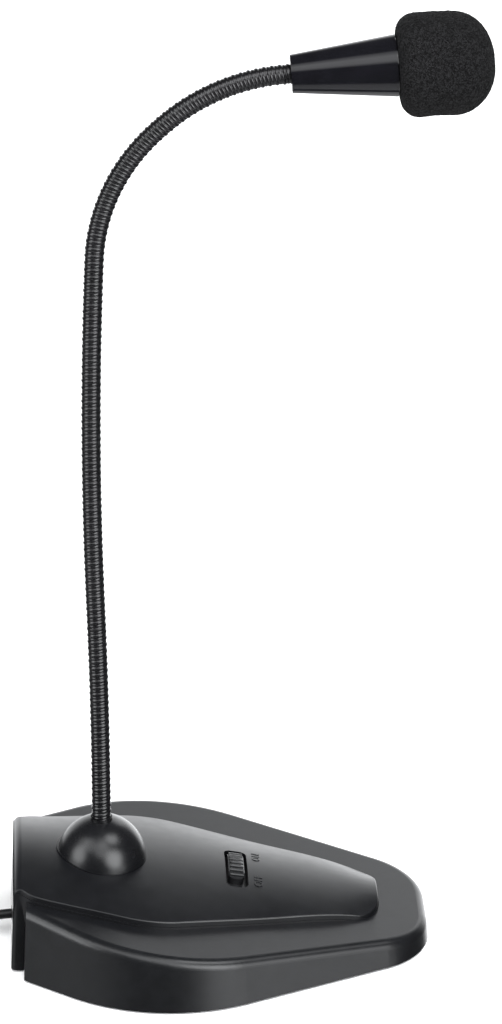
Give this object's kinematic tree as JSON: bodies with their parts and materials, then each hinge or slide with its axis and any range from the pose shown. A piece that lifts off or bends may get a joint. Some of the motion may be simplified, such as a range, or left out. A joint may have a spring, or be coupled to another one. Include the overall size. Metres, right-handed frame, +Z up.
{
  "type": "gooseneck podium microphone",
  "caption": "Table microphone on a weighted, wedge-shaped base with a sliding switch, a bendable gooseneck, a tapered head with a foam windscreen, and a cable with a small plug.",
  "frame": {"origin": "on the floor, under the middle of the microphone's length and width, without the cord", "axes": "+X forwards, the way the head points; +Z up"},
  "size_m": [0.2071, 0.1044, 0.2954],
  "materials": {
    "housing_black": "satin, fine mould texture",
    "dome_black": "semi-gloss",
    "neck_black": "black oxide, satin",
    "head_black": "high gloss black paint",
    "foam_black": "open-cell foam, matte",
    "switch_black": "satin",
    "steel": "zinc plated",
    "rubber_black": "matte",
    "cable_black": "satin PVC",
    "lead_grey": "PVC",
    "board_green": "solder mask",
    "component_black": "moulded",
    "connector_white": "nylon",
    "plating": "nickel plated",
    "felt_grey": "felt"
  },
  "bodies": {
    "base": {"base_shell": "housing_black", "deck_cover": "housing_black", "bottom_plate": "steel", "ballast_plate": "steel", "ballast_screws": "steel", "housing_screws": "steel", "rubber_feet": "rubber_black", "neck_dome": "dome_black", "neck_ferrule_bottom": "neck_black", "neck_washer": "steel", "neck_nut": "steel", "base_lead": "lead_grey", "cable_inner": "cable_black", "board_connector": "connector_white", "cable_clamp": "component_black", "clamp_screws": "steel", "circuit_board": "board_green", "board_screws": "steel", "board_components": "component_black", "slide_switch_body": "component_black", "cable_bush": "rubber_black", "neck_seg_1": "neck_black", "neck_lead_1": "lead_grey", "cable_run": "cable_black", "cable_coil": "cable_black", "cable_tail": "cable_black", "coil_tie": "rubber_black", "plug_grip": "rubber_black", "plug_sleeve": "plating", "plug_insulator": "component_black", "plug_tip": "plating"},
    "neck_2": {"neck_seg_2": "neck_black", "neck_lead_2": "lead_grey"},
    "neck_3": {"neck_seg_3": "neck_black", "neck_lead_3": "lead_grey"},
    "neck_4": {"neck_seg_4": "neck_black", "neck_lead_4": "lead_grey"},
    "neck_5": {"neck_seg_5": "neck_black", "neck_lead_5": "lead_grey"},
    "neck_6": {"neck_seg_6": "neck_black", "neck_lead_6": "lead_grey"},
    "neck_7": {"neck_seg_7": "neck_black", "neck_lead_7": "lead_grey"},
    "neck_8": {"neck_seg_8": "neck_black", "neck_lead_8": "lead_grey"},
    "head": {"neck_seg_9": "neck_black", "neck_lead_9": "lead_grey", "head_shell": "head_black", "neck_ferrule_top": "neck_black", "ferrule_nut": "steel", "capsule_board": "board_green", "mic_capsule": "steel", "capsule_boot": "rubber_black", "capsule_felt": "felt_grey", "front_grille": "steel"},
    "windscreen": {"windscreen": "foam_black"},
    "switch": {"switch_actuator": "component_black", "switch_cap": "switch_black"}
  },
  "joints": [
    {"name": "neck_bend_1", "type": "hinge", "parent": "base", "child": "neck_2", "pos_m": [-0.04236, 0, 0.053], "axis": [1, 0, 0.0075], "range_deg": [-30, 30]},
    {"name": "neck_bend_2", "type": "hinge", "parent": "neck_2", "child": "neck_3", "pos_m": [-0.0429, 0, 0.087], "axis": [0, 1, 0], "range_deg": [-30, 30]},
    {"name": "neck_bend_3", "type": "hinge", "parent": "neck_3", "child": "neck_4", "pos_m": [-0.04396, 0, 0.12098], "axis": [0.9996, 0, 0.0297], "range_deg": [-30, 30]},
    {"name": "neck_bend_4", "type": "hinge", "parent": "neck_4", "child": "neck_5", "pos_m": [-0.04456, 0, 0.15497], "axis": [0, 1, 0], "range_deg": [-30, 30]},
    {"name": "neck_bend_5", "type": "hinge", "parent": "neck_5", "child": "neck_6", "pos_m": [-0.04434, 0, 0.18897], "axis": [0.9998, 0, -0.0188], "range_deg": [-30, 30]},
    {"name": "neck_bend_6", "type": "hinge", "parent": "neck_6", "child": "neck_7", "pos_m": [-0.04326, 0, 0.22295], "axis": [0, 1, 0], "range_deg": [-30, 30]},
    {"name": "neck_bend_7", "type": "hinge", "parent": "neck_7", "child": "neck_8", "pos_m": [-0.03106, 0, 0.25414], "axis": [0.7814, 0, -0.624], "range_deg": [-30, 30]},
    {"name": "neck_bend_8", "type": "hinge", "parent": "neck_8", "child": "head", "pos_m": [-0.00383, 0, 0.27378], "axis": [0, 1, 0], "range_deg": [-30, 30]},
    {"name": "windscreen_pull", "type": "slide", "parent": "head", "child": "windscreen", "axis": [0.9971, 0, 0.0767], "range_m": [0, 0.03]},
    {"name": "switch_slide", "type": "slide", "parent": "base", "child": "switch", "axis": [0, 1, 0], "range_m": [-0.003, 0]}
  ]
}
